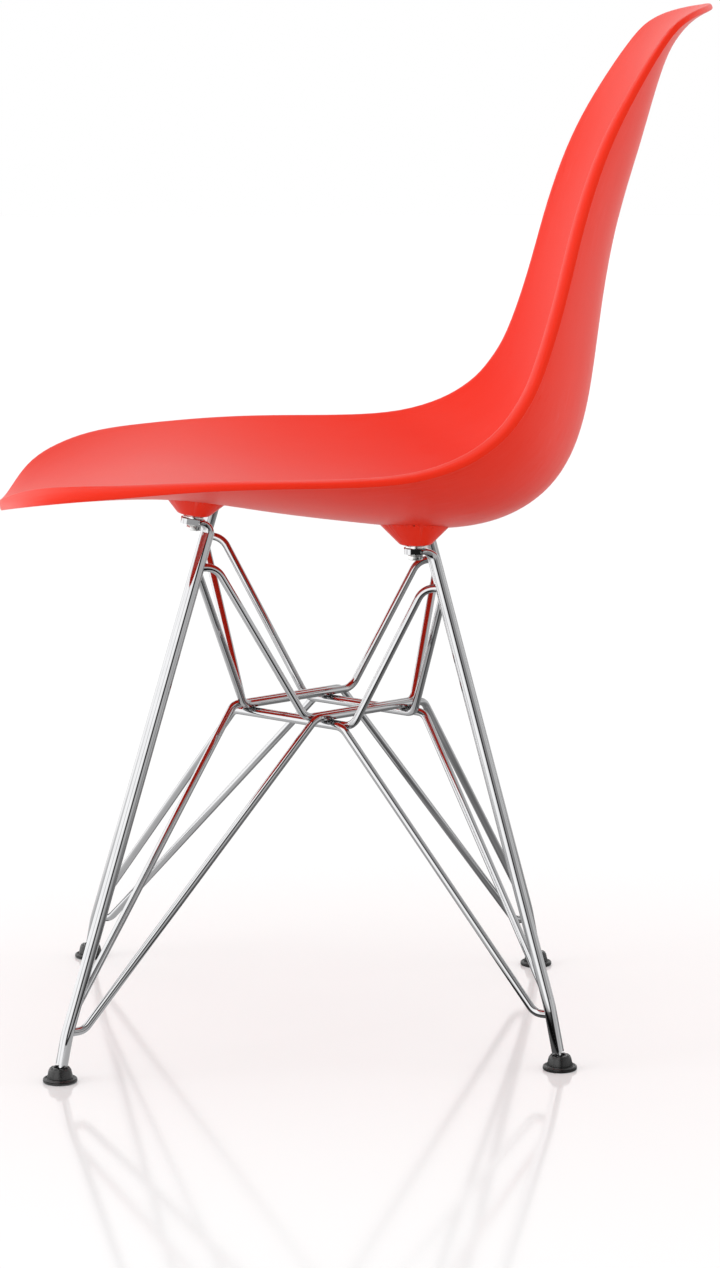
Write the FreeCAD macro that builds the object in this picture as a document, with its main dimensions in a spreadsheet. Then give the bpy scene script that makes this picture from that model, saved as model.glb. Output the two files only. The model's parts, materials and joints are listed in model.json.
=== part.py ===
import FreeCAD, Part
import os
from math import acos, cos, pi, radians, sin, tan

import Sketcher
from FreeCAD import Placement, Rotation, Vector

# Side chair: a moulded shell on four rubber mounts and a base of bent, welded steel rod.
# Millimetres. The origin is on the floor under the middle of the chair's outline.
# +Z is up, the sitter looks along -Y, and the sitter's left is +X.

doc = FreeCAD.newDocument("ShellChair")
sheet = doc.addObject("Spreadsheet::Sheet", "Sizes")

drivingSizes = {
    # Shell: the sitting surface between the crests of its rolled rim
    "shell_half_width": 225.5,
    "shell_front": 278.0,
    "shell_depth": 548.6,
    "shell_rise": 400.2,
    "seat_low_height": 407.4,
    "shell_wall": 4.2,
    "dish_power": 2.3,
    # Flange that rolls outward and down from the crest of the rim
    "flange_wall": 4.2,
    "flange_side_width": 9.2,
    "flange_side_drop": 4.0,
    "flange_lip_width": 2.5,
    "flange_lip_drop": 4.6,
    "flange_corner_width": 9.0,
    "flange_corner_drop": 8.1,
    "flange_top_width": 6.4,
    "flange_top_drop": 0.8,
    # Mounts under the shell
    "front_mount_across": 80.0,
    "front_mount_ahead": 124.5,
    "front_mount_tilt": 8.5,
    "front_housing_depth": 10.6,
    "rear_mount_across": 72.0,
    "rear_mount_behind": 47.5,
    "rear_mount_tilt": 0.0,
    "rear_housing_depth": 12.9,
    "housing_bottom_radius": 12.25,
    "housing_wall": 3.0,
    "housing_flank": 45.0,
    "rubber_height": 4.2,
    "insert_radius": 5.6,
    "insert_height": 3.4,
    "insert_collar_radius": 7.4,
    "insert_collar_height": 0.8,
    "washer_radius": 8.0,
    "washer_height": 2.2,
    "bolt_radius": 4.0,
    "bolt_clearance": 0.1,
    "bolt_grip": 2.8,
    "bolt_flange_radius": 6.6,
    "bolt_flange_height": 1.3,
    "bolt_hex_radius": 5.8,
    "bolt_hex_height": 3.7,
    # Legs: one rod each, flattened to a tab on top and necked to a ball at its foot
    "leg_radius": 4.75,
    "tab_width": 17.0,
    "tab_height": 4.2,
    "tab_overhang": 9.0,
    "tab_corner_radius": 5.0,
    "front_bend_setback": 14.5,
    "front_bend_radius": 7.5,
    "rear_bend_setback": 12.5,
    "rear_bend_radius": 10.5,
    "bend_inset": 0.03,
    "bend_lap": 1.0,
    "front_knee_across": 187.6,
    "front_knee_ahead": 220.0,
    "front_knee_height": 34.0,
    "front_foot_across": 191.5,
    "front_foot_ahead": 225.1,
    "rear_knee_across": 155.3,
    "rear_knee_behind": 149.2,
    "rear_knee_height": 49.0,
    "rear_foot_across": 160.9,
    "rear_foot_behind": 157.3,
    "knee_radius": 70.0,
    "neck_radius": 2.2,
    "shoulder_rise": 8.0,
    # Cross struts: thin rod, bent round a diamond between the legs
    "strut_radius": 3.175,
    "weld_gap": 0.15,
    "diamond_ahead": 19.8,
    "diamond_half_width": 67.0,
    "diamond_half_depth": 67.8,
    "diamond_side_stagger": 18.6,
    "diamond_end_stagger": 9.0,
    "diamond_under_seat": 149.8,
    "diamond_level_step": 7.0,
    "diamond_slide": 5.3,
    "diamond_corner_radius": 12.0,
    "hook_reach": 14.0,
    "upper_hook_radius": 15.0,
    "lower_hook_radius": 12.0,
    # Where the hooked and the straight strut ends meet each leg: under the seat, and over the floor
    "upper_front_hooked": 27.4,
    "upper_front_straight": 29.9,
    "upper_rear_hooked": 45.4,
    "upper_rear_straight": 50.4,
    "lower_front_hooked": 36.9,
    "lower_front_straight": 51.0,
    "lower_rear_hooked": 41.6,
    "lower_rear_straight": 55.0,
    # Glides: a ball on the rod in a liner, which a dome and a foot disc turn on
    "ball_radius": 4.3,
    "ball_height": 5.6,
    "ball_clearance": 0.05,
    "throat_radius": 3.3,
    "throat_rise": 2.3,
    "liner_radius": 6.0,
    "liner_mouth_radius": 4.9,
    "liner_bottom": 1.3,
    "liner_top": 11.4,
    "liner_rim_radius": 6.6,
    "liner_rim_height": 1.7,
    "spin_clearance": 0.05,
    "pad_radius": 13.2,
    "pad_groove_radius": 12.3,
    "pad_floor": 0.9,
    "pad_recess_radius": 7.0,
    "pad_lower_tier": 1.9,
    "pad_groove_top": 2.35,
    "pad_height": 3.4,
    "dome_radius": 10.0,
    "dome_shoulder_radius": 8.7,
    "dome_shoulder_height": 9.4,
    "dome_top_radius": 7.4,
    "dome_top": 11.4,
}
for row, (alias, number) in enumerate(drivingSizes.items(), start=1):
    sheet.set("A%d" % row, alias)
    sheet.set("B%d" % row, str(number))
    sheet.setAlias("B%d" % row, alias)
doc.recompute()


def size(alias):
    return float(sheet.get(alias))


def originPlane(body, role):
    return next(feature for feature in body.Origin.OriginFeatures if feature.Role == role)


def turned(label, outline):
    """A body turned about its Z axis from a closed half outline of (radius, height) expressions."""
    body = doc.addObject("PartDesign::Body", label)
    body.Label = label
    sketch = body.newObject("Sketcher::SketchObject", label + "_outline")
    sketch.AttachmentSupport = [(originPlane(body, "XZ_Plane"), "")]
    sketch.MapMode = "FlatFace"
    corners = [Vector(sheet.evalExpression(across), sheet.evalExpression(up), 0) for across, up in outline]
    for start, end in zip(corners, corners[1:] + corners[:1]):
        sketch.addGeometry(Part.LineSegment(start, end), False)
    for line in range(len(corners)):
        sketch.addConstraint(Sketcher.Constraint("Coincident", line, 2, (line + 1) % len(corners), 1))
    for line, corner in enumerate(corners):
        for kind, distance, axis, expression in (
            ("DistanceX", corner.x, -2, outline[line][0]),
            ("DistanceY", corner.y, -1, outline[line][1]),
        ):
            if expression == "0":
                sketch.addConstraint(Sketcher.Constraint("PointOnObject", line, 1, axis))
                continue
            datum = sketch.addConstraint(Sketcher.Constraint(kind, -1, 1, line, 1, distance))
            sketch.setExpression("Constraints[%d]" % datum, expression)
    spin = body.newObject("PartDesign::Revolution", label + "_turn")
    spin.Profile = sketch
    spin.ReferenceAxis = (sketch, ["V_Axis"])
    spin.Angle = 360
    return body


def made(label, shape):
    """A feature that holds a shape worked out from the sheet's sizes."""
    feature = doc.addObject("Part::Feature", label)
    feature.Label = label
    feature.Shape = shape
    return feature


# The four corners of the base: its name, its side of the middle, and front or rear
corners = [
    (end + "_" + side, sign, end)
    for end in ("front", "rear")
    for side, sign in (("left", 1), ("right", -1))
]
nodes = []

# Shell
# The middle line of the sitting surface, front lip to top: (back from the lip, over the lowest point)
drawnDepth = 550.2
drawnRise = 401.4
drawnHalfWidth = 225.5
middleStations = (
    (0, 15.6), (59.5, 22.4), (127.5, 27.2), (209.5, 15.6), (291.5, 4.2), (339.5, 0), (379.5, 3.4),
    (411, 15.5), (439.5, 42), (454.7, 79), (467.7, 160), (482.2, 242), (505, 322), (521, 372),
    (drawnDepth, drawnRise),
)
# The crest of the left rim, front to top:
# (distance along the middle line, half-width, back from the lip, over the lowest point)
crestStations = (
    (17, 115, 14.5, 31.8), (40, 157, 36.5, 42.4), (71, 191.5, 67, 49), (104, 211, 102, 52),
    (161, 224, 165, 56), (216, drawnHalfWidth, 220.5, 57.4), (278, 222, 282, 58.4), (330, 219, 324.5, 63),
    (372, 214.5, 351.5, 71.5), (410, 209.5, 369, 80.8), (440, 204.5, 381, 90), (475, 199, 391.5, 101.5),
    (510, 192.5, 401.5, 116.5), (545, 183, 410.5, 136), (587, 172, 423.5, 176), (640, 160, 437.7, 230.5),
    (700, 149, 457.5, 290.5), (758, 138, 485, 343), (799, 124, 511, 381), (811, 118, 519, 388.8),
)
wider = size("shell_half_width") / drawnHalfWidth
deeper = size("shell_depth") / drawnDepth
taller = size("shell_rise") / drawnRise


def shellPoint(across, back, over):
    return Vector(
        across * wider,
        back * deeper - size("shell_front"),
        over * taller + size("seat_low_height"),
    )


middlePoints = [shellPoint(0, back, over) for back, over in middleStations]
along = [0.0]
for (backA, overA), (backB, overB) in zip(middleStations, middleStations[1:]):
    along.append(along[-1] + Vector(0, backB - backA, overB - overA).Length)
middleLength = along[-1]
middleLine = Part.BSplineCurve()
middleLine.interpolate(Points=middlePoints, Parameters=along)


def turnAt(share):
    """The angle round the outline, 0 at the lip and pi at the top, for a share of the middle line."""
    return acos(1 - 2 * share)


leftRim = [
    (turnAt(distance / middleLength), shellPoint(half, back, over))
    for distance, half, back, over in crestStations
]
rightRim = [(2 * pi - turn, Vector(-point.x, point.y, point.z)) for turn, point in reversed(leftRim)]
rimLoop = [(0.0, middlePoints[0])] + leftRim + [(pi, middlePoints[-1])] + rightRim
crestLine = Part.BSplineCurve()
crestLine.interpolate(
    Points=[point for turn, point in rimLoop],
    Parameters=[turn for turn, point in rimLoop] + [2 * pi],
    PeriodicFlag=True,
)


def sittingPoint(share, across):
    """A point of the sitting surface, dished across from the middle line up to the crest."""
    rim = crestLine.value(turnAt(share))
    middle = middleLine.value(share * middleLength)
    rise = (abs(across) / rim.x) ** size("dish_power") if across else 0.0
    return Vector(across, middle.y + (rim.y - middle.y) * rise, middle.z + (rim.z - middle.z) * rise)


# Width and drop of the flange round the outline, front lip to top, in degrees of turn
flangeStations = (
    (0, "flange_lip"), (13, "flange_lip"), (28, "flange_corner"), (46, "flange_side"), (90, "flange_side"),
    (135, "flange_side"), (160, "flange_top"), (180, "flange_top"),
)
flangeLaw = Part.BSplineCurve()
flangeHalf = [
    (radians(turn), Vector(size(name + "_width"), size(name + "_drop"), cos(radians(turn))))
    for turn, name in flangeStations
]
flangeLoop = flangeHalf + [(2 * pi - turn, law) for turn, law in reversed(flangeHalf[1:-1])]
flangeLaw.interpolate(
    Points=[law for turn, law in flangeLoop],
    Parameters=[turn for turn, law in flangeLoop] + [2 * pi],
    PeriodicFlag=True,
)

# Rings of surface points run from the middle of the seat out to the crest, over the flange
# and back under the shell. Spokes run round the outline.
spokeCount = 96
hubShare = 0.36
rimLean = 0.35
ringShares = (0.03, 0.09, 0.17, 0.26, 0.35, 0.44, 0.53, 0.62, 0.7, 0.78, 0.85, 0.91, 0.95, 0.98)
sittingRings = [[] for share in ringShares]
crestRing = []
for spoke in range(spokeCount):
    turn = 2 * pi * spoke / spokeCount
    crest = crestLine.value(turn)
    crestRing.append(crest)
    share = (1 - cos(turn)) / 2
    for ring, ringShare in zip(sittingRings, ringShares):
        ring.append(sittingPoint(hubShare + (share - hubShare) * ringShare, crest.x * ringShare))
hub = sittingPoint(hubShare, 0)
hubRun = middleLine.tangent(hubShare * middleLength)[0]
hubNormal = Vector(1, 0, 0).cross(hubRun)


def wallNormal(inner, outer, ring, spoke):
    across = outer[spoke] - inner[spoke]
    along = ring[(spoke + 1) % spokeCount] - ring[spoke - 1]
    return across.cross(along).normalize()


wall = size("shell_wall")
hubRing = [hub] * spokeCount
innerSide = [hubRing] + sittingRings + [crestRing]
underRings = []
for level in range(1, len(innerSide) - 1):
    underRings.append([
        innerSide[level][spoke]
        - wallNormal(innerSide[level - 1], innerSide[level + 1], innerSide[level], spoke) * wall
        for spoke in range(spokeCount)
    ])

# Flange section at each spoke: (share of the width out, share of the drop, walls down)
flangeSection = (
    (0.32, 0.10, 0.0), (0.70, 0.42, 0.0), (0.97, 0.85, 0.08), (1.03, 1.02, 0.5), (0.95, 1.0, 0.95),
    (0.62, 0.55, 1.15), (0.2, 0.15, 1.25),
)
flangeRings = [[] for row in flangeSection]
for spoke in range(spokeCount):
    turn = 2 * pi * spoke / spokeCount
    run = (crestRing[(spoke + 1) % spokeCount] - crestRing[spoke - 1]).normalize()
    rise = middleLine.tangent((1 - cos(turn)) / 2 * middleLength)[0]
    rimRise = Vector(0, run.y, run.z) * (1 if sin(turn) >= 0 else -1) + rise * rimLean
    up = Vector(1, 0, 0).cross(rimRise.normalize())
    up = (up - run * up.dot(run)).normalize()
    out = run.cross(up).normalize()
    law = flangeLaw.value(turn)
    for ring, (reach, drop, walls) in zip(flangeRings, flangeSection):
        sink = law.y * drop + size("flange_wall") * walls
        ring.append(crestRing[spoke] + out * (law.x * reach) - up * sink)
hubUnder = hub - hubNormal * wall
rings = innerSide + flangeRings + list(reversed(underRings)) + [[hubUnder] * spokeCount]


# The share of the second difference by which a cubic surface falls inside its poles
cubicShare = 1 / 6


def fitted(before, here, after):
    """A spline pole whose surface passes through the middle one of three points in a row."""
    return here - (before - here * 2 + after) * cubicShare


eased = [
    [fitted(ring[spoke - 1], ring[spoke], ring[(spoke + 1) % spokeCount]) for spoke in range(spokeCount)]
    for ring in rings
]
poles = [eased[0]]
for before, here, after in zip(eased, eased[1:], eased[2:]):
    poles.append([fitted(before[spoke], here[spoke], after[spoke]) for spoke in range(spokeCount)])
poles.append(eased[-1])
ringKnots = list(range(len(poles) - 2))
cubic = 3
shellSurface = Part.BSplineSurface()
shellSurface.buildFromPolesMultsKnots(
    poles,
    [cubic + 1] + [1] * (len(ringKnots) - 2) + [cubic + 1],
    [1] * (spokeCount + 1),
    ringKnots,
    list(range(spokeCount + 1)),
    False,
    True,
    cubic,
    cubic,
)
shellSolid = Part.Solid(Part.Shell([shellSurface.toShape()]))
if shellSolid.Volume < 0:
    shellSolid.reverse()
seatShell = made("seat_shell", shellSolid)
nodes.append(seatShell)

# Mounts
# Each mount stands on an axis square to its tab, with its origin at the housing's bottom.
mountFrames = {}
shellTop = size("seat_low_height") + size("shell_rise")
for corner, sign, end in corners:
    across = sign * size(end + "_mount_across")
    back = -size("front_mount_ahead") if end == "front" else size("rear_mount_behind")
    plumb = Part.makeLine(Vector(across, back, 0), Vector(across, back, shellTop))
    underside = shellSolid.common(plumb).BoundBox.ZMin
    bottom = underside - size(end + "_housing_depth")
    mountFrames[corner] = Placement(
        Vector(across, back, bottom), Rotation(Vector(1, 0, 0), -size(end + "_mount_tilt"))
    )


def below(frame, depth):
    """The same frame, moved down its own axis."""
    return frame * Placement(Vector(0, 0, -depth), Rotation())


collarDepth = size("insert_collar_height")
washerDepth = collarDepth + size("washer_height")
tabDepth = washerDepth + size("tab_height")
boltDepth = tabDepth + size("bolt_flange_height") + size("bolt_hex_height")

# A housing's blank reaches this many wall thicknesses past the underside, and the shell trims it
housingReach = 4
flankRun = tan(radians(size("housing_flank")))
cavityRadius = "Sizes.housing_bottom_radius - Sizes.housing_wall"
rubberFlank = cavityRadius + " + Sizes.rubber_height * tan(Sizes.housing_flank * 1 deg)"
for corner, sign, end in corners:
    frame = mountFrames[corner]
    housingTop = size(end + "_housing_depth") + housingReach * size("shell_wall")
    bottomRadius = size("housing_bottom_radius")
    cone = Part.makeCone(bottomRadius, bottomRadius + housingTop * flankRun, housingTop)
    cavityBottom = bottomRadius - size("housing_wall")
    cavityTop = cavityBottom + size("rubber_height") * flankRun
    cavity = Part.makeCone(cavityBottom, cavityTop, size("rubber_height"))
    blank = cone.cut(cavity)
    blank.Placement = frame
    trimmed = blank.cut(shellSolid)
    lowest = min(trimmed.Solids, key=lambda solid: solid.BoundBox.ZMin)
    nodes.append(made("mount_housing_" + corner, lowest))

    rubber = turned("shock_mount_" + corner, [
        ("Sizes.insert_radius", "0"),
        (cavityRadius, "0"),
        (rubberFlank, "Sizes.rubber_height"),
        ("0", "Sizes.rubber_height"),
        ("0", "Sizes.insert_height"),
        ("Sizes.insert_radius", "Sizes.insert_height"),
    ])
    rubber.Placement = frame
    nodes.append(rubber)

insert = turned("insert_blank", [
    ("Sizes.bolt_radius + Sizes.bolt_clearance", "0"),
    ("Sizes.insert_collar_radius", "0"),
    ("Sizes.insert_collar_radius", "Sizes.insert_collar_height"),
    ("Sizes.insert_radius", "Sizes.insert_collar_height"),
    ("Sizes.insert_radius", "Sizes.insert_collar_height + Sizes.insert_height"),
    ("Sizes.bolt_radius + Sizes.bolt_clearance", "Sizes.insert_collar_height + Sizes.insert_height"),
])
washer = turned("washer_blank", [
    ("Sizes.bolt_radius + Sizes.bolt_clearance", "0"),
    ("Sizes.washer_radius", "0"),
    ("Sizes.washer_radius", "Sizes.washer_height"),
    ("Sizes.bolt_radius + Sizes.bolt_clearance", "Sizes.washer_height"),
])

# Bolt: a hexagon, its flange, and a shank that reaches up into the insert
hexSides = 6
hexagon = doc.addObject("Part::Prism", "bolt_hexagon")
hexagon.Polygon = hexSides
hexagon.setExpression("Circumradius", "Sizes.bolt_hex_radius")
hexagon.setExpression("Height", "Sizes.bolt_hex_height")
boltFlange = doc.addObject("Part::Cylinder", "bolt_flange")
boltFlange.setExpression("Radius", "Sizes.bolt_flange_radius")
boltFlange.setExpression("Height", "Sizes.bolt_flange_height")
boltFlange.setExpression("Placement.Base.z", "Sizes.bolt_hex_height")
shank = doc.addObject("Part::Cylinder", "bolt_shank")
shank.setExpression("Radius", "Sizes.bolt_radius")
shank.setExpression(
    "Height", "Sizes.tab_height + Sizes.washer_height + Sizes.insert_collar_height + Sizes.bolt_grip"
)
shank.setExpression("Placement.Base.z", "Sizes.bolt_hex_height + Sizes.bolt_flange_height")
bolt = doc.addObject("Part::MultiFuse", "bolt_blank")
bolt.Shapes = [hexagon, boltFlange, shank]
doc.recompute()

for label, blank, depth in (
    ("threaded_inserts", insert, collarDepth),
    ("spacer_washers", washer, washerDepth),
    ("mounting_bolts", bolt, boltDepth),
):
    copies = []
    for corner, sign, end in corners:
        copy = blank.Shape.copy()
        copy.Placement = below(mountFrames[corner], depth)
        copies.append(copy)
    nodes.append(made(label, Part.makeCompound(copies)))


# Rods
def bentPath(points, radii):
    """A wire of straight runs, with a tangent arc of the given radius at each inner point."""
    edges = []
    start = points[0]
    for before, point, after, radius in zip(points, points[1:], points[2:], radii):
        toward = (point - before).normalize()
        away = (after - point).normalize()
        half = toward.getAngle(away) / 2
        cut = radius * tan(half)
        arcStart = point - toward * cut
        arcEnd = point + away * cut
        bisector = (away - toward).normalize()
        arcMiddle = point + bisector * (radius / cos(half) - radius)
        edges.append(Part.LineSegment(start, arcStart).toShape())
        edges.append(Part.Arc(arcStart, arcMiddle, arcEnd).toShape())
        start = arcEnd
    edges.append(Part.LineSegment(start, points[-1]).toShape())
    return Part.Wire(edges)


def rod(path, radius):
    """A round rod along a wire."""
    first = path.Edges[0]
    ring = Part.Wire(Part.Circle(first.valueAt(0), first.tangentAt(0), radius).toShape())
    return path.makePipeShell([ring], True, False)


# Sections of the bend between tab and rod: their powers, round and flat, their points and their number
roundPower = 2.0
flatPower = 5.0
sectionPoints = 24
bendSections = 8


def bentSection(centre, wide, thin, halfWide, halfThin, power):
    """A closed section between a flat bar and a round rod."""
    points = []
    for step in range(sectionPoints):
        angle = 2 * pi * step / sectionPoints
        x = abs(cos(angle)) ** (2 / power) * (1 if cos(angle) > 0 else -1)
        y = abs(sin(angle)) ** (2 / power) * (1 if sin(angle) > 0 else -1)
        points.append(centre + wide * (x * halfWide) + thin * (y * halfThin))
    outline = Part.BSplineCurve()
    outline.interpolate(Points=points, PeriodicFlag=True)
    return Part.Wire(outline.toShape())


def legPoints(sign, end):
    """The leg's knee and the centre of the ball at its foot."""
    way = -1 if end == "front" else 1
    out = "ahead" if end == "front" else "behind"
    knee = Vector(
        sign * size(end + "_knee_across"),
        way * size(end + "_knee_" + out),
        size(end + "_knee_height"),
    )
    ball = Vector(
        sign * size(end + "_foot_across"), way * size(end + "_foot_" + out), size("ball_height")
    )
    return knee, ball


legRadius = size("leg_radius")
roundHalf = legRadius - size("bend_inset")
flatHalfWidth = size("tab_width") / 2 - size("bend_inset")
flatHalfHeight = size("tab_height") / 2 - size("bend_inset")
lap = size("bend_lap")
legAxes = {}
legSolids = {}
for corner, sign, end in corners:
    frame = below(mountFrames[corner], washerDepth + size("tab_height") / 2)
    square = frame.Rotation.multVec(Vector(0, 0, 1))
    back = frame.Rotation.multVec(Vector(0, 1, 0))
    side = Vector(1, 0, 0)
    bend = frame.Base + back * size(end + "_bend_setback")
    knee, ball = legPoints(sign, end)
    down = (knee - bend).normalize()
    foot = (ball - knee).normalize()
    legAxes[corner] = (bend, knee, ball)

    # Bend from the flat tab into the round rod
    turn = back.getAngle(down)
    radius = size(end + "_bend_radius")
    bendCut = radius * tan(turn / 2)
    inPlane = (down - back * down.dot(back)).normalize()
    arcStart = bend - back * bendCut
    arcCentre = arcStart + inPlane * radius
    sections = [bentSection(arcStart - back * lap, side, square, flatHalfWidth, flatHalfHeight, flatPower)]
    for step in range(bendSections + 1):
        share = step / bendSections
        ease = share * share * (3 - 2 * share)
        heading = back * cos(turn * share) + inPlane * sin(turn * share)
        inner = inPlane * cos(turn * share) - back * sin(turn * share)
        centre = arcCentre - inner * radius
        level = heading.cross(inner).normalize()
        if level.dot(side) < 0:
            level = level * -1
        flatSide = (side - heading * side.dot(heading)).normalize()
        wide = (flatSide * (1 - ease) + level * ease).normalize()
        thin = heading.cross(wide).normalize()
        halfWide = flatHalfWidth * (1 - ease) + roundHalf * ease
        halfThin = flatHalfHeight * (1 - ease) + roundHalf * ease
        power = flatPower * (1 - ease) + roundPower * ease
        sections.append(bentSection(centre, wide, thin, halfWide, halfThin, power))
    arcEnd = bend + down * bendCut
    sections.append(bentSection(arcEnd + down * lap, wide, thin, roundHalf, roundHalf, roundPower))
    transition = Part.makeLoft(sections, True, False)

    # Tab: a flat bar with a rounded front end and the bolt's hole
    tabLength = size("tab_overhang") + size(end + "_bend_setback") - bendCut
    tab = Part.makeBox(size("tab_width"), tabLength, size("tab_height"))
    frontEdges = [
        edge for edge in tab.Edges
        if edge.BoundBox.ZLength > size("tab_height") / 2 and edge.CenterOfMass.y < tabLength / 2
    ]
    tab = tab.makeFillet(size("tab_corner_radius"), frontEdges)
    tab.translate(Vector(-size("tab_width") / 2, -size("tab_overhang"), 0))
    tab.Placement = below(mountFrames[corner], tabDepth) * tab.Placement

    shoulder = ball - foot * size("shoulder_rise")
    rodSolid = rod(bentPath([arcEnd, knee, shoulder], [size("knee_radius")]), legRadius)
    neck = Part.makeCylinder(size("neck_radius"), size("shoulder_rise") + legRadius, ball, foot * -1)
    bead = Part.makeSphere(size("ball_radius"), ball)
    hole = Part.makeCylinder(size("bolt_radius") + size("bolt_clearance"), boltDepth)
    hole.Placement = below(mountFrames[corner], boltDepth)
    face = Part.makeCylinder(size("bolt_flange_radius") + size("bolt_clearance"), boltDepth)
    face.Placement = below(mountFrames[corner], tabDepth + boltDepth)
    legSolid = rodSolid.multiFuse([transition, tab, neck, bead]).cut(hole).cut(face)
    if legSolid.ShapeType == "Compound":
        legSolid = legSolid.Solids[0]
    legSolids[corner] = legSolid
    nodes.append(made("leg_" + corner, legSolid))


def axisPoint(corner, height):
    """The point of a leg's axis at a height."""
    bend, knee, ball = legAxes[corner]
    upper, lower = (bend, knee) if height > knee.z else (knee, ball)
    return lower + (upper - lower) * ((height - lower.z) / (upper.z - lower.z))


def strutHeight(tier, end, kind):
    """The height at which a strut's hooked or straight end meets a leg."""
    given = size("%s_%s_%s" % (tier, end, kind))
    return size("seat_low_height") - given if tier == "upper" else given


# Struts: each leaves one leg level in a hook, runs round two corners of the diamond, and ends
# straight on the leg across
for corner, sign, end in corners:
    way = -1 if end == "front" else 1
    other = "rear" if end == "front" else "front"
    opposite = other + ("_right" if sign > 0 else "_left")
    level = size("seat_low_height") - size("diamond_under_seat")
    if (end == "front") != (sign > 0):
        level -= size("diamond_level_step")
    middle = -size("diamond_ahead")
    near = Vector(
        sign * size("diamond_half_width"), middle + way * size("diamond_side_stagger"), level
    )
    far = Vector(-sign * size("diamond_end_stagger"), middle - way * size("diamond_half_depth"), level)
    run = (far - near).normalize()
    outward = Vector(-run.y, run.x, 0)
    if outward.dot(near - Vector(0, middle, level)) < 0:
        outward = outward * -1
    aside = outward * (2 * size("strut_radius") + size("weld_gap")) + run * size("diamond_slide")
    bend = size("diamond_corner_radius")
    for tier, shift in (("upper", Vector(0, 0, 0)), ("lower", aside)):
        first = near + shift
        second = far + shift
        root = axisPoint(corner, strutHeight(tier, end, "hooked"))
        toward = Vector(first.x - root.x, first.y - root.y, 0).normalize()
        hook = root + toward * size("hook_reach")
        tip = axisPoint(opposite, strutHeight(tier, other, "straight"))
        path = bentPath([root, hook, first, second, tip], [size(tier + "_hook_radius"), bend, bend])
        blank = rod(path, size("strut_radius"))
        trimmed = blank.cut(legSolids[corner]).cut(legSolids[opposite])
        strut = max(trimmed.Solids, key=lambda solid: solid.Volume)
        nodes.append(made("%s_strut_%s" % (tier, corner), strut))

# Glides: the liner keeps the ball, and the dome and pad turn round the liner
socketRadius = "Sizes.ball_radius + Sizes.ball_clearance"
for corner, sign, end in corners:
    knee, ball = legPoints(sign, end)
    floorFrame = Placement(Vector(ball.x, ball.y, 0), Rotation())
    linerBlank = turned("glide_liner_" + corner + "_blank", [
        ("0", "Sizes.liner_bottom"),
        ("Sizes.liner_rim_radius", "Sizes.liner_bottom"),
        ("Sizes.liner_rim_radius", "Sizes.liner_bottom + Sizes.liner_rim_height"),
        ("Sizes.liner_radius", "Sizes.liner_bottom + Sizes.liner_rim_height"),
        ("Sizes.liner_radius", "Sizes.liner_top"),
        ("Sizes.liner_mouth_radius", "Sizes.liner_top"),
        ("Sizes.throat_radius", "Sizes.ball_height + Sizes.throat_rise"),
        ("0", "Sizes.ball_height + Sizes.throat_rise"),
    ])
    socket = doc.addObject("Part::Sphere", "socket_" + corner)
    socket.setExpression("Radius", socketRadius)
    socket.setExpression("Placement.Base.z", "Sizes.ball_height")
    throat = doc.addObject("Part::Cylinder", "throat_" + corner)
    throat.setExpression("Radius", "Sizes.throat_radius")
    throat.setExpression("Height", "2 * Sizes.throat_rise")
    throat.setExpression("Placement.Base.z", "Sizes.ball_height")
    entry = doc.addObject("Part::Cylinder", "entry_" + corner)
    entry.setExpression("Radius", socketRadius)
    entry.setExpression("Height", "Sizes.ball_height")
    hollow = doc.addObject("Part::MultiFuse", "hollow_" + corner)
    hollow.Shapes = [socket, throat, entry]
    liner = doc.addObject("Part::Cut", "glide_liner_" + corner)
    liner.Label = "glide_liner_" + corner
    liner.Base = linerBlank
    liner.Tool = hollow
    liner.Placement = floorFrame
    nodes.append(liner)

    dome = turned("glide_dome_" + corner, [
        ("Sizes.liner_radius + Sizes.spin_clearance", "Sizes.pad_height"),
        ("Sizes.dome_radius", "Sizes.pad_height"),
        ("Sizes.dome_shoulder_radius", "Sizes.dome_shoulder_height"),
        ("Sizes.dome_top_radius", "Sizes.dome_top"),
        ("Sizes.liner_radius + Sizes.spin_clearance", "Sizes.dome_top"),
    ])
    dome.Placement = floorFrame
    nodes.append(dome)

    pad = turned("glide_pad_" + corner, [
        ("0", "0"),
        ("Sizes.pad_radius", "0"),
        ("Sizes.pad_radius", "Sizes.pad_lower_tier"),
        ("Sizes.pad_groove_radius", "Sizes.pad_lower_tier"),
        ("Sizes.pad_groove_radius", "Sizes.pad_groove_top"),
        ("Sizes.pad_radius", "Sizes.pad_groove_top"),
        ("Sizes.pad_radius", "Sizes.pad_height"),
        ("Sizes.pad_recess_radius", "Sizes.pad_height"),
        ("Sizes.pad_recess_radius", "Sizes.pad_floor"),
        ("0", "Sizes.pad_floor"),
    ])
    pad.Placement = floorFrame
    nodes.append(pad)
doc.recompute()

failed = [item.Name for item in doc.Objects if "Invalid" in item.State or "Error" in item.State]
if failed:
    raise RuntimeError("These objects did not build: " + ", ".join(failed))
for node in nodes:
    if node.Shape.isNull() or not node.Shape.isValid() or not node.Shape.Solids:
        raise RuntimeError(node.Label + " has no valid solid")

os.makedirs("parts", exist_ok=True)
outline = FreeCAD.BoundBox()
for node in nodes:
    node.Shape.exportStep("parts/" + node.Label + ".step")
    outline.add(node.Shape.BoundBox)
print(len(nodes), "nodes", outline)
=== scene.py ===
import json
from math import asin, cos, pi, radians

import bpy
from mathutils import Matrix, Vector


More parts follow.
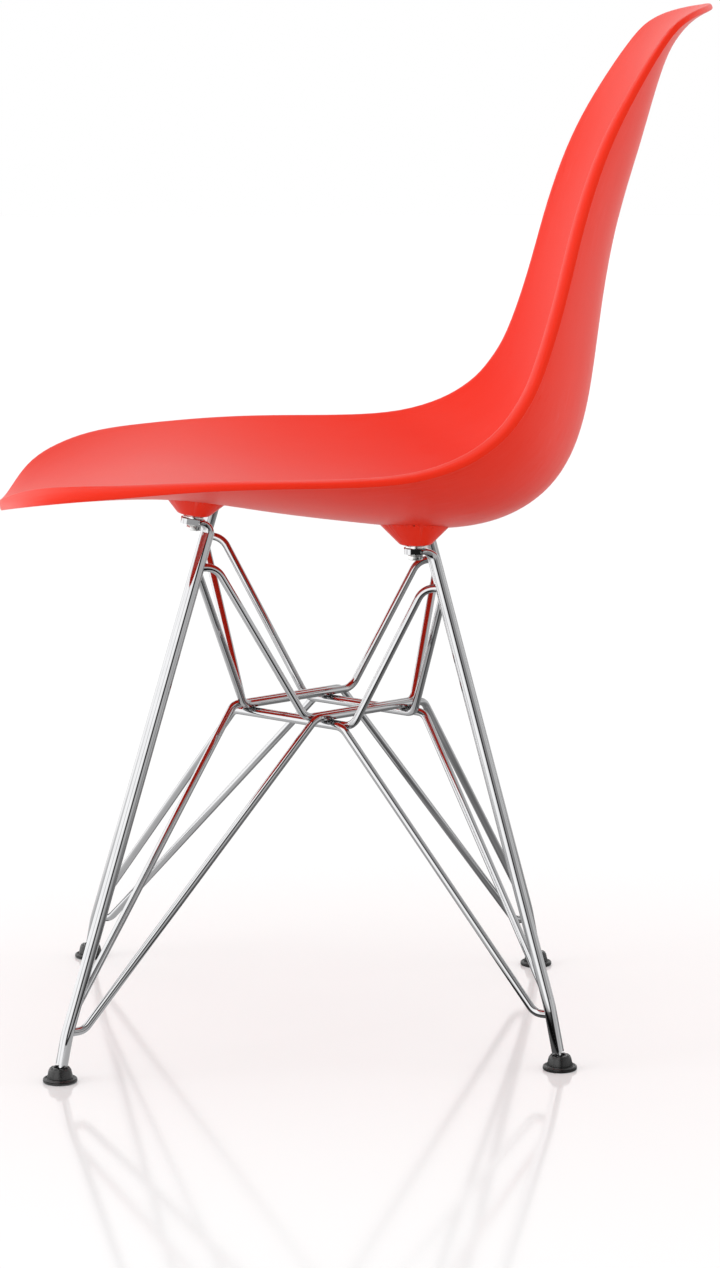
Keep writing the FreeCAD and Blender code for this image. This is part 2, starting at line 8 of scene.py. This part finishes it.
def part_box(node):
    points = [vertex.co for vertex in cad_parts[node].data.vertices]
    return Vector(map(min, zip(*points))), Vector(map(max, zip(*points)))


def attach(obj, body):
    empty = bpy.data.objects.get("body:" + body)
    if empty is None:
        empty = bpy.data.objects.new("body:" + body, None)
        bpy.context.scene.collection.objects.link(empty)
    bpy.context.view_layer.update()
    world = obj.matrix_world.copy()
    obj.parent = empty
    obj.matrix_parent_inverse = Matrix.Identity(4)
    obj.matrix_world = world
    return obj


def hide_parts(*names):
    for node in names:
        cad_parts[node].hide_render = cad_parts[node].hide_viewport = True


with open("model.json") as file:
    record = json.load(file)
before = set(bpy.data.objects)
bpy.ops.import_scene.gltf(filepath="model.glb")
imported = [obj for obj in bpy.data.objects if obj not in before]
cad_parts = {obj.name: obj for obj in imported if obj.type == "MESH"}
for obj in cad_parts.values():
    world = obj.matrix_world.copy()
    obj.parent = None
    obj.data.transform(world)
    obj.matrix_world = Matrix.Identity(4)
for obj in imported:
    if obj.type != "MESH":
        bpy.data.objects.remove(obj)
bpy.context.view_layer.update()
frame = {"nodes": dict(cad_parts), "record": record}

corners = ("front_left", "front_right", "rear_left", "rear_right")
print("frame loaded:", len(frame["nodes"]), "nodes")

# The colour sockets of a Mix node, which share their names with its number sockets
firstColour = 6
secondColour = 7
mixedColour = 2


# Materials: one wire class carries the maths and adds every node
class Wire:
    def __init__(self, tree, socket=None):
        self.tree = tree
        self.socket = socket

    def node(self, kind, settings=None, inputs=None, output=0):
        made = self.tree.nodes.new(kind)
        for name, value in (settings or {}).items():
            if name == "stops":
                ramp = made.color_ramp
                while len(ramp.elements) < len(value):
                    ramp.elements.new(0.5)
                for stop, (place, colour) in zip(ramp.elements, value):
                    stop.position = place
                    stop.color = colour
            else:
                setattr(made, name, value)
        for name, value in (inputs or {}).items():
            if isinstance(value, Wire):
                self.tree.links.new(value.socket, made.inputs[name])
            else:
                made.inputs[name].default_value = value
        return Wire(self.tree, made.outputs[output])

    def maths(self, operation, first, second=0.0):
        return self.node("ShaderNodeMath", {"operation": operation}, {0: first, 1: second})

    def __add__(self, other):
        return self.maths("ADD", self, other)

    def __sub__(self, other):
        return self.maths("SUBTRACT", self, other)

    def __rsub__(self, other):
        return self.maths("SUBTRACT", other, self)

    def __mul__(self, other):
        return self.maths("MULTIPLY", self, other)

    def __truediv__(self, other):
        return self.maths("DIVIDE", self, other)

    def __rtruediv__(self, other):
        return self.maths("DIVIDE", other, self)

    __radd__ = __add__
    __rmul__ = __mul__

    def clamped(self):
        return self.node("ShaderNodeClamp", None, {"Value": self})

    def ramp(self, stops):
        return self.node("ShaderNodeValToRGB", {"stops": stops}, {"Fac": self})


def newMaterial(name):
    material = bpy.data.materials.new(name)
    material.use_nodes = True
    shader = material.node_tree.nodes["Principled BSDF"]
    return material, shader, Wire(material.node_tree)


def plug(shader, name, wire):
    wire.tree.links.new(wire.socket, shader.inputs[name])


def noise(pen, scale, detail):
    place = pen.node("ShaderNodeTexCoord", None, None, "Object")
    return pen.node("ShaderNodeTexNoise", None, {"Vector": place, "Scale": scale, "Detail": detail})


def tinted(pen, dark, light, share):
    return pen.node(
        "ShaderNodeMix",
        {"data_type": "RGBA"},
        {"Factor": share, firstColour: (*dark, 1), secondColour: (*light, 1)},
        mixedColour,
    )


def raised(pen, height, strength, depth):
    return pen.node("ShaderNodeBump", None, {"Strength": strength, "Distance": depth, "Height": height})


# Shell plastic: one warm red through the wall, a satin face with a very fine mould grain
shellFinish = {
    "deep": (0.79, 0.0200, 0.0030),
    "bright": (0.85, 0.0245, 0.0040),
    "cloudScale": 9.0,
    "cloudShare": 0.7,
    "flowScale": 55.0,
    "flowShare": 0.3,
    "grainScale": 1500.0,
    "grainStrength": 0.45,
    "grainDepth": 0.00004,
    "roughness": 0.36,
    "cloudRoughness": 0.05,
    "grainRoughness": 0.08,
    "specular": 0.16,
}


def shellPlastic():
    finish = shellFinish
    material, shader, pen = newMaterial("shellPlastic")
    cloud = noise(pen, finish["cloudScale"], 2.0)
    flow = noise(pen, finish["flowScale"], 3.0)
    grain = noise(pen, finish["grainScale"], 2.0)
    share = cloud * finish["cloudShare"] + flow * finish["flowShare"]
    plug(shader, "Base Color", tinted(pen, finish["deep"], finish["bright"], share))
    cloudy = finish["roughness"] + (cloud - 0.5) * finish["cloudRoughness"]
    plug(shader, "Roughness", cloudy + (grain - 0.5) * finish["grainRoughness"])
    plug(shader, "Normal", raised(pen, grain, finish["grainStrength"], finish["grainDepth"]))
    shader.inputs["Specular IOR Level"].default_value = finish["specular"]
    return material


# Chrome: a mirror with the faint cloud and fine rub marks of plated rod
chromeFinish = {
    "dull": (0.40, 0.402, 0.41),
    "bright": (0.47, 0.47, 0.475),
    "roughness": 0.035,
    "cloudScale": 60.0,
    "cloudRoughness": 0.03,
    "rubScale": 2500.0,
    "rubRoughness": 0.02,
    "rubStrength": 0.08,
    "rubDepth": 0.00001,
}


def chromedRod():
    finish = chromeFinish
    material, shader, pen = newMaterial("chromedRod")
    cloud = noise(pen, finish["cloudScale"], 3.0)
    rub = noise(pen, finish["rubScale"], 1.0)
    shader.inputs["Metallic"].default_value = 1.0
    plug(shader, "Base Color", tinted(pen, finish["dull"], finish["bright"], cloud))
    cloudy = finish["roughness"] + cloud * finish["cloudRoughness"]
    plug(shader, "Roughness", cloudy + rub * finish["rubRoughness"])
    plug(shader, "Normal", raised(pen, rub, finish["rubStrength"], finish["rubDepth"]))
    return material


# Zinc-plated bolts and spacers: rougher than the chrome, with the mottle of plating
zincFinish = {
    "dull": (0.50, 0.50, 0.49),
    "bright": (0.66, 0.66, 0.65),
    "roughness": 0.16,
    "mottleScale": 700.0,
    "mottleRoughness": 0.12,
    "fineScale": 3000.0,
    "fineRoughness": 0.05,
    "fineStrength": 0.3,
    "fineDepth": 0.00002,
}


def platedSteel():
    finish = zincFinish
    material, shader, pen = newMaterial("platedSteel")
    mottle = noise(pen, finish["mottleScale"], 4.0)
    fine = noise(pen, finish["fineScale"], 2.0)
    shader.inputs["Metallic"].default_value = 1.0
    plug(shader, "Base Color", tinted(pen, finish["dull"], finish["bright"], mottle))
    mottled = finish["roughness"] + mottle * finish["mottleRoughness"]
    plug(shader, "Roughness", mottled + fine * finish["fineRoughness"])
    plug(shader, "Normal", raised(pen, fine, finish["fineStrength"], finish["fineDepth"]))
    return material


# Rubber and the glides' two nylons: black, each with its own gloss and grain
darkGrain = {
    "cloudScale": 220.0,
    "cloudShare": 0.4,
    "grainShare": 0.6,
    "grainRoughness": 0.16,
    "grainDepth": 0.00008,
}
rubberFinish = {
    "dark": (0.010, 0.010, 0.010),
    "light": (0.028, 0.027, 0.026),
    "roughness": 0.62,
    "grainScale": 1400.0,
    "grainStrength": 0.5,
}
glideFinish = {
    "dark": (0.003, 0.003, 0.003),
    "light": (0.016, 0.016, 0.016),
    "roughness": 0.27,
    "grainScale": 1900.0,
    "grainStrength": 0.8,
}
linerFinish = {
    "dark": (0.004, 0.004, 0.004),
    "light": (0.010, 0.010, 0.010),
    "roughness": 0.07,
    "grainScale": 1800.0,
    "grainStrength": 0.1,
}


def darkPlastic(name, finish):
    material, shader, pen = newMaterial(name)
    grain = noise(pen, finish["grainScale"], 3.0)
    cloud = noise(pen, darkGrain["cloudScale"], 2.0)
    share = grain * darkGrain["grainShare"] + cloud * darkGrain["cloudShare"]
    plug(shader, "Base Color", tinted(pen, finish["dark"], finish["light"], share))
    plug(shader, "Roughness", finish["roughness"] + (grain - 0.5) * darkGrain["grainRoughness"])
    plug(shader, "Normal", raised(pen, grain, finish["grainStrength"], darkGrain["grainDepth"]))
    return material


finishes = {
    "shell_plastic": shellPlastic(),
    "chromed_rod": chromedRod(),
    "plated_steel": platedSteel(),
    "shock_rubber": darkPlastic("shockRubber", rubberFinish),
    "glide_nylon": darkPlastic("glideNylon", glideFinish),
    "liner_nylon": darkPlastic("linerNylon", linerFinish),
}
slots = {row["node"]: row["material_slot"] for row in frame["record"]["subparts"]}
for name, node in frame["nodes"].items():
    node.data.materials.clear()
    node.data.materials.append(finishes[slots[name]])
print("materials made")


# Modelling helpers: each piece starts from a ring or a disc and is drawn out in edit mode
weldReach = 0.000001
edgeAngle = 30
smoothAngle = 38


def clearSelection():
    if bpy.context.object and bpy.context.object.mode != "OBJECT":
        bpy.ops.object.mode_set(mode="OBJECT")
    bpy.ops.object.select_all(action="DESELECT")


def editing(mode="VERT"):
    bpy.ops.object.mode_set(mode="EDIT")
    bpy.ops.mesh.select_mode(type=mode)


def drawnOut(name, steps, sides, filled=True):
    clearSelection()
    radius, height = steps[0]
    bpy.ops.mesh.primitive_circle_add(
        vertices=sides, radius=radius, location=(0, 0, height), fill_type="NGON" if filled else "NOTHING"
    )
    piece = bpy.context.object
    piece.name = name
    piece.data.name = name
    editing("FACE" if filled else "EDGE")
    bpy.ops.mesh.select_all(action="SELECT")
    for (radius, height), (nextRadius, nextHeight) in zip(steps, steps[1:]):
        bpy.ops.mesh.extrude_region_move(TRANSFORM_OT_translate={"value": (0, 0, nextHeight - height)})
        share = nextRadius / radius
        bpy.ops.transform.resize(value=(share, share, 1))
    bpy.ops.mesh.select_all(action="SELECT")
    bpy.ops.mesh.remove_doubles(threshold=weldReach)
    bpy.ops.mesh.normals_make_consistent(inside=False)
    bpy.ops.object.mode_set(mode="OBJECT")
    return piece


def rounded(piece, width, segments, angle=edgeAngle):
    clearSelection()
    piece.select_set(True)
    bpy.context.view_layer.objects.active = piece
    edge = piece.modifiers.new("rounding", "BEVEL")
    edge.width = width
    edge.segments = segments
    edge.limit_method = "ANGLE"
    edge.angle_limit = radians(angle)
    bpy.ops.object.modifier_apply(modifier=edge.name)
    bpy.ops.object.shade_smooth_by_angle(angle=radians(smoothAngle))


def joined(first, others):
    clearSelection()
    for piece in others + [first]:
        piece.select_set(True)
    bpy.context.view_layer.objects.active = first
    bpy.ops.object.join()
    return first


def dressed(piece, slot):
    piece.data.materials.clear()
    piece.data.materials.append(finishes[slot])


def copied(piece, name, place):
    twin = piece.copy()
    twin.data = piece.data.copy()
    twin.name = name
    twin.data.name = name
    twin.data.transform(place)
    bpy.context.scene.collection.objects.link(twin)
    return twin


def removed(pieces):
    for piece in pieces:
        bpy.data.objects.remove(piece, do_unlink=True)


# Mounts: where each pair stands, with x to either side, and how far its axis leans
mountPlaces = {
    "front": (0.080, -0.1245, 0.420356, 8.5),
    "rear": (0.072, 0.0475, 0.395631, 0.0),
}


def mountFrame(corner):
    row, side = corner.split("_")
    x, y, z, lean = mountPlaces[row]
    place = (x if side == "left" else -x, y, z)
    return Matrix.Translation(place) @ Matrix.Rotation(radians(-lean), 4, "X")


# Bolts: heights are along the mount's axis, from the housing's lower face
boltLook = {
    "hexSides": 6,
    "hexRadius": 0.0058,
    "hexBottom": -0.0122,
    "hexTop": -0.0085,
    "hexChamfer": 0.0006,
    "dimpleInsetShare": 0.45,
    "dimpleDepth": 0.0004,
    "flangeSides": 64,
    "flangeInnerShare": 0.92,
    "flangeOuterShare": 1.02,
    "flangeTuck": 0.0002,
    "flangeRadius": 0.0066,
    "flangeEdge": -0.0078,
    "flangeRounding": 0.00018,
    "tabFace": -0.0072,
    "shankSides": 40,
    "shankRadius": 0.0040,
    "shankTop": 0.0028,
    "shankChamfer": 0.0005,
    "shankRounding": 0.0001,
}
facingDown = -0.9


def makeBolt():
    look = boltLook
    hexSteps = ((look["hexRadius"], look["hexBottom"]), (look["hexRadius"], look["hexTop"]))
    hexagon = drawnOut("hexagon", hexSteps, look["hexSides"])
    editing("FACE")
    bpy.ops.mesh.select_all(action="DESELECT")
    bpy.ops.object.mode_set(mode="OBJECT")
    for face in hexagon.data.polygons:
        face.select = face.normal.z < facingDown
    editing("FACE")
    bpy.ops.mesh.inset(thickness=look["hexRadius"] * look["dimpleInsetShare"])
    bpy.ops.transform.translate(value=(0, 0, look["dimpleDepth"]))
    bpy.ops.object.mode_set(mode="OBJECT")
    rounded(hexagon, look["hexChamfer"], segments=3)
    flangeSteps = (
        (look["hexRadius"] * look["flangeInnerShare"], look["hexTop"] - look["flangeTuck"]),
        (look["hexRadius"] * look["flangeOuterShare"], look["hexTop"]),
        (look["flangeRadius"], look["flangeEdge"]),
        (look["flangeRadius"], look["tabFace"]),
    )
    flange = drawnOut("flange", flangeSteps, look["flangeSides"])
    rounded(flange, look["flangeRounding"], segments=2)
    shankSteps = (
        (look["shankRadius"], look["tabFace"]),
        (look["shankRadius"], look["shankTop"] - look["shankChamfer"]),
        (look["shankRadius"] - look["shankChamfer"], look["shankTop"]),
    )
    shank = drawnOut("shank", shankSteps, look["shankSides"])
    rounded(shank, look["shankRounding"], segments=1)
    bolt = joined(hexagon, [flange, shank])
    dressed(bolt, "plated_steel")
    return bolt


washerLook = {
    "sides": 64,
    "bore": 0.0041,
    "radius": 0.0080,
    "bottom": -0.0030,
    "top": -0.0008,
    "edge": 0.0003,
}


def makeWasher():
    look = washerLook
    steps = (
        (look["bore"], look["bottom"]),
        (look["radius"], look["bottom"]),
        (look["radius"], look["top"]),
        (look["bore"], look["top"]),
        (look["bore"], look["bottom"]),
    )
    washer = drawnOut("washer", steps, look["sides"], filled=False)
    rounded(washer, look["edge"], segments=2)
    dressed(washer, "plated_steel")
    return washer


def placeAtMounts(pattern, name, node):
    copies = [copied(pattern, name + "_" + corner, mountFrame(corner)) for corner in corners]
    piece = joined(copies[0], copies[1:])
    piece.name = name
    piece.data.name = name
    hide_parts(node)
    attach(piece, "chair")
    removed([pattern])


placeAtMounts(makeBolt(), "flangeBolts", "mounting_bolts")
placeAtMounts(makeWasher(), "spacerRings", "spacer_washers")
print("bolts and spacers made")


# Housings: the CAD cones, with their bottom edge rounded as it leaves the mould
housingLook = {
    "bottomRadius": 0.01225,
    "edge": 0.0011,
    "edgeSteps": 4,
    "weldReach": 0.000005,
    "flatAngle": 1.0,
    "heightReach": 0.00005,
    "radiusReach": 0.0001,
    "smoothAngle": 32,
}


def makeHousing(corner):
    look = housingLook
    node = frame["nodes"]["mount_housing_" + corner]
    piece = node.copy()
    piece.data = node.data.copy()
    piece.name = "housing_" + corner
    piece.data.name = piece.name
    piece.parent = None
    bpy.context.scene.collection.objects.link(piece)
    clearSelection()
    piece.select_set(True)
    bpy.context.view_layer.objects.active = piece
    editing("EDGE")
    bpy.ops.mesh.select_all(action="SELECT")
    bpy.ops.mesh.remove_doubles(threshold=look["weldReach"])
    bpy.ops.mesh.dissolve_limited(angle_limit=radians(look["flatAngle"]))
    bpy.ops.mesh.select_all(action="DESELECT")
    bpy.ops.object.mode_set(mode="OBJECT")
    inward = mountFrame(corner).inverted()
    places = [inward @ vertex.co for vertex in piece.data.vertices]
    onRim = [
        abs(place.z) < look["heightReach"]
        and abs(Vector((place.x, place.y)).length - look["bottomRadius"]) < look["radiusReach"]
        for place in places
    ]
    for edge in piece.data.edges:
        edge.select = onRim[edge.vertices[0]] and onRim[edge.vertices[1]]
    editing("EDGE")
    bpy.ops.mesh.bevel(offset=look["edge"], segments=look["edgeSteps"], affect="EDGES")
    bpy.ops.object.mode_set(mode="OBJECT")
    bpy.ops.object.shade_smooth_by_angle(angle=radians(look["smoothAngle"]))
    dressed(piece, "shell_plastic")
    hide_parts("mount_housing_" + corner)
    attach(piece, "chair")


for corner in corners:
    makeHousing(corner)
print("housings rounded")


# Glide dome: a grained cap with rounded shoulders, open at the top for the rod
glideSides = 88
domeLook = {
    "boreRadius": 0.00605,
    "footRadius": 0.0100,
    "footHeight": 0.0034,
    "footInset": 0.0007,
    "footLift": 0.0004,
    "waistRadius": 0.0093,
    "waistHeight": 0.0068,
    "shoulderRadius": 0.0086,
    "shoulderHeight": 0.0096,
    "topRadius": 0.0074,
    "topHeight": 0.0114,
    "topDrop": 0.0003,
    "mouthInset": 0.0012,
    "mouthDrop": 0.0006,
    "rounding": 0.0008,
    "roundingAngle": 14,
}


def makeDome():
    look = domeLook
    mouthHeight = look["topHeight"] - look["mouthDrop"]
    steps = (
        (look["boreRadius"], look["footHeight"]),
        (look["footRadius"] - look["footInset"], look["footHeight"]),
        (look["footRadius"], look["footHeight"] + look["footLift"]),
        (look["waistRadius"], look["waistHeight"]),
        (look["shoulderRadius"], look["shoulderHeight"]),
        (look["topRadius"], look["topHeight"] - look["topDrop"]),
        (look["topRadius"] - look["mouthInset"], mouthHeight),
        (look["boreRadius"], mouthHeight),
        (look["boreRadius"], look["footHeight"]),
    )
    dome = drawnOut("dome", steps, glideSides, filled=False)
    rounded(dome, look["rounding"], segments=4, angle=look["roundingAngle"])
    dressed(dome, "glide_nylon")
    return dome


# Petals: a scalloped collar round the rod, its profile as radius and drop below the dome's top
petalLook = {
    "count": 12,
    "sidesEach": 8,
    "bore": (0.00615, 0.0009),
    "under": (0.00700, 0.0011),
    "outer": (0.00755, 0.0008),
    "upper": (0.00725, 0.0001),
    "crest": (0.00650, 0.0),
    "plainRadius": 0.0064,
    "reach": 0.0011,
    "middle": 0.6,
    "rounding": 0.00015,
    "roundingAngle": 40,
}


def makePetals():
    look = petalLook
    profile = [look[name] for name in ("bore", "under", "outer", "upper", "crest", "bore")]
    steps = [(radius, domeLook["topHeight"] - drop) for radius, drop in profile]
    ring = drawnOut("petals", steps, look["count"] * look["sidesEach"], filled=False)
    for vertex in ring.data.vertices:
        radius = Vector((vertex.co.x, vertex.co.y)).length
        if radius > look["plainRadius"]:
            turn = round(asin(max(-1, min(1, vertex.co.y / radius))), 6)
            turn = turn if vertex.co.x >= 0 else pi - turn
            swell = abs(cos(turn * look["count"] / 2))
            share = 1 + (swell - look["middle"]) * look["reach"] / radius
            vertex.co.x *= share
            vertex.co.y *= share
    rounded(ring, look["rounding"], segments=2, angle=look["roundingAngle"])
    dressed(ring, "liner_nylon")
    return ring


# Pad: two tiers with a groove between them, a gutter on top and a recess for the liner
padLook = {
    "radius": 0.0132,
    "footInset": 0.0006,
    "footLift": 0.0007,
    "tierHeight": 0.0019,
    "grooveRadius": 0.0123,
    "grooveTop": 0.00235,
    "riseInset": 0.0003,
    "riseHeight": 0.0029,
    "height": 0.0034,
    "gutterRadius": 0.0119,
    "gutterSlope": 0.0004,
    "gutterFloor": 0.0024,
    "gutterGap": 0.0001,
    "seatInset": 0.0002,
    "recessRadius": 0.0070,
    "recessFloor": 0.0009,
    "rounding": 0.00028,
    "roundingAngle": 25,
}


def makePad():
    look = padLook
    steps = (
        (look["radius"] - look["footInset"], 0.0),
        (look["radius"], look["footLift"]),
        (look["radius"], look["tierHeight"]),
        (look["grooveRadius"], look["tierHeight"]),
        (look["grooveRadius"], look["grooveTop"]),
        (look["radius"], look["grooveTop"]),
        (look["radius"] - look["riseInset"], look["riseHeight"]),
        (look["gutterRadius"], look["height"]),
        (look["gutterRadius"] - look["gutterSlope"], look["gutterFloor"]),
        (domeLook["footRadius"] + look["gutterGap"], look["gutterFloor"]),
        (domeLook["footRadius"] - look["seatInset"], look["height"]),
        (look["recessRadius"], look["height"]),
        (look["recessRadius"], look["recessFloor"]),
    )
    pad = drawnOut("pad", steps, glideSides)
    rounded(pad, look["rounding"], segments=3, angle=look["roundingAngle"])
    dressed(pad, "glide_nylon")
    return pad


dome = makeDome()
petals = makePetals()
pad = makePad()
for corner in corners:
    low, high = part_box("glide_pad_" + corner)
    place = Matrix.Translation(((low[0] + high[0]) / 2, (low[1] + high[1]) / 2, 0))
    for pattern, name, node in ((dome, "domeCap_", "glide_dome_"), (pad, "footPad_", "glide_pad_")):
        piece = copied(pattern, name + corner, place)
        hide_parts(node + corner)
        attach(piece, "glide_" + corner)
    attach(copied(petals, "petals_" + corner, place), "glide_" + corner)
removed([dome, petals, pad])
print("glides made")


# Wall that polished rod mirrors, as turn and tone: pale, with a dark gap and a grey side.
# The skirt is its low part, in softer tones.
studioGain = 2.1
wallTones = (
    (0.0, 0.50), (0.05, 0.50), (0.075, 0.24), (0.12, 0.95), (0.30, 1.0), (0.33, 0.40), (0.36, 1.0),
    (0.465, 0.95), (0.495, 0.15), (0.505, 0.006), (0.55, 0.006), (0.57, 0.20), (0.68, 0.24),
    (0.72, 0.55), (0.76, 0.30), (0.86, 0.46), (0.92, 0.22), (0.95, 0.50), (1.0, 0.50),
)
skirtTones = (
    (0.0, 0.50), (0.05, 0.50), (0.075, 0.42), (0.12, 0.95), (0.30, 1.0), (0.33, 0.55), (0.36, 1.0),
    (0.465, 0.95), (0.495, 0.30), (0.505, 0.02), (0.545, 0.02), (0.57, 0.42), (0.68, 0.42),
    (0.72, 0.60), (0.76, 0.42), (0.86, 0.50), (0.92, 0.42), (0.95, 0.50), (1.0, 0.50),
)
studioWall = [(place, (tone, tone, tone, 1)) for place, tone in wallTones]
studioSkirt = [(place, (tone, tone, tone, 1)) for place, tone in skirtTones]


def headingShare(pen, place):
    tree = pen.tree
    parts = tree.nodes.new("ShaderNodeSeparateXYZ")
    tree.links.new(place.socket, parts.inputs[0])
    return pen.maths("ARCTAN2", Wire(tree, parts.outputs[1]), Wire(tree, parts.outputs[0])) / (2 * pi) + 0.5


def lightPath(pen, ray):
    return pen.node("ShaderNodeLightPath", None, None, ray)


# Floor: pale and plain, glossy enough for a faint mirror of the feet; to glossy rays it glows instead with
# the wall's tones, a painted reflection, with painted shade round the chair
floorLook = {
    "half": 12.0,
    "tone": 0.80,
    "roughness": 0.09,
    "lift": 0.11,
    # Painted shade: the floor's glow to glossy rays is dimmed near the chair, fading out with distance
    "shadeStart": 0.25,
    "shadeRun": 1.1,
    "shade": 0.40,
}


def makeFloor():
    look = floorLook
    clearSelection()
    bpy.ops.mesh.primitive_plane_add(size=2 * look["half"], location=(0, 0, 0))
    floor = bpy.context.object
    floor.name = "studioFloor"
    material, shader, pen = newMaterial("paleFloor")
    tone = look["tone"]
    shader.inputs["Base Color"].default_value = (tone, tone, tone, 1)
    shader.inputs["Roughness"].default_value = look["roughness"]
    lift = lightPath(pen, "Is Camera Ray") * look["lift"]
    glow = pen.node("ShaderNodeEmission", None, {"Color": (1, 1, 1, 1), "Strength": lift})
    lit = pen.node("ShaderNodeAddShader", None, {0: Wire(pen.tree, shader.outputs[0]), 1: glow})
    place = pen.node("ShaderNodeTexCoord", None, None, "Object")
    # Painted reflection: what glossy rays see of the floor is not lit but glows with the wall's tones
    wall = headingShare(pen, place).ramp(studioWall)
    away = pen.node("ShaderNodeVectorMath", {"operation": "LENGTH"}, {0: place}, "Value")
    # Painted shade: the glow the chrome mirrors is darker close to the chair and full beyond 1.35 m
    clear = ((away - look["shadeStart"]) / look["shadeRun"]).clamped()
    strength = (look["shade"] + clear * (1 - look["shade"])) * studioGain
    mirrored = pen.node("ShaderNodeEmission", None, {"Color": wall, "Strength": strength})
    glossy = lightPath(pen, "Is Glossy Ray")
    both = pen.node("ShaderNodeMixShader", None, {0: glossy, 1: lit, 2: mirrored})
    material.node_tree.links.new(both.socket, material.node_tree.nodes["Material Output"].inputs[0])
    floor.data.materials.append(material)


makeFloor()


# World: plain white at a strength of 1 for light, and the wall above for what is mirrored
skirtLook = {"start": 0.27, "run": 0.07}


def makeWorld():
    world = bpy.data.worlds.new("studio")
    bpy.context.scene.world = world
    world.use_nodes = True
    pen = Wire(world.node_tree)
    heading = pen.node("ShaderNodeTexCoord", None, None, "Generated")
    parts = world.node_tree.nodes.new("ShaderNodeSeparateXYZ")
    world.node_tree.links.new(heading.socket, parts.inputs[0])
    height = Wire(world.node_tree, parts.outputs[2])
    above = ((height - skirtLook["start"]) / skirtLook["run"]).clamped()
    turn = headingShare(pen, heading)
    wall = pen.node(
        "ShaderNodeMix",
        {"data_type": "RGBA"},
        {"Factor": above, firstColour: turn.ramp(studioSkirt), secondColour: turn.ramp(studioWall)},
        mixedColour,
    )
    mirrored = lightPath(pen, "Is Glossy Ray")
    colour = pen.node(
        "ShaderNodeMix",
        {"data_type": "RGBA"},
        {"Factor": mirrored, firstColour: (1, 1, 1, 1), secondColour: wall},
        mixedColour,
    )
    background = world.node_tree.nodes["Background"]
    world.node_tree.links.new(colour.socket, background.inputs["Color"])
    strength = mirrored * (studioGain - 1) + 1
    world.node_tree.links.new(strength.socket, background.inputs["Strength"])


makeWorld()


# Lamps: two soft boxes that the camera and the mirrored view don't show
lampLooks = {
    "frontLight": {"place": (0.9, -2.7, 1.3), "target": (0, 0, 0.5), "side": 1.6, "power": 19},
    "rearLight": {"place": (0.2, 2.6, 1.2), "target": (0, 0, 0.6), "side": 1.4, "power": 8},
}


def softBox(name, look):
    lamp = bpy.data.lights.new(name, "AREA")
    lamp.shape = "RECTANGLE"
    lamp.size = look["side"]
    lamp.size_y = look["side"]
    lamp.energy = look["power"]
    holder = bpy.data.objects.new(name, lamp)
    bpy.context.scene.collection.objects.link(holder)
    holder.location = look["place"]
    holder.visible_camera = False
    holder.visible_glossy = False
    aim = Vector(look["target"]) - Vector(look["place"])
    holder.rotation_euler = aim.to_track_quat("-Z", "Y").to_euler()


for name, look in lampLooks.items():
    softBox(name, look)

# Camera: the photograph's own view, 9.4 degrees down on the sitter's left side
view = {"place": (2.9535, -0.0270, 0.8031), "pitch": 9.418, "yaw": 0.624, "focal": 106.47, "film": 36.0}
camera = bpy.data.objects.new("camera", bpy.data.cameras.new("camera"))
bpy.context.scene.collection.objects.link(camera)
camera.data.lens = view["focal"]
camera.data.sensor_width = view["film"]
camera.location = view["place"]
camera.rotation_euler = (radians(90 - view["pitch"]), 0, radians(90 - view["yaw"]))
bpy.context.scene.camera = camera
bpy.context.scene.view_settings.view_transform = "Standard"
print("camera and light set")
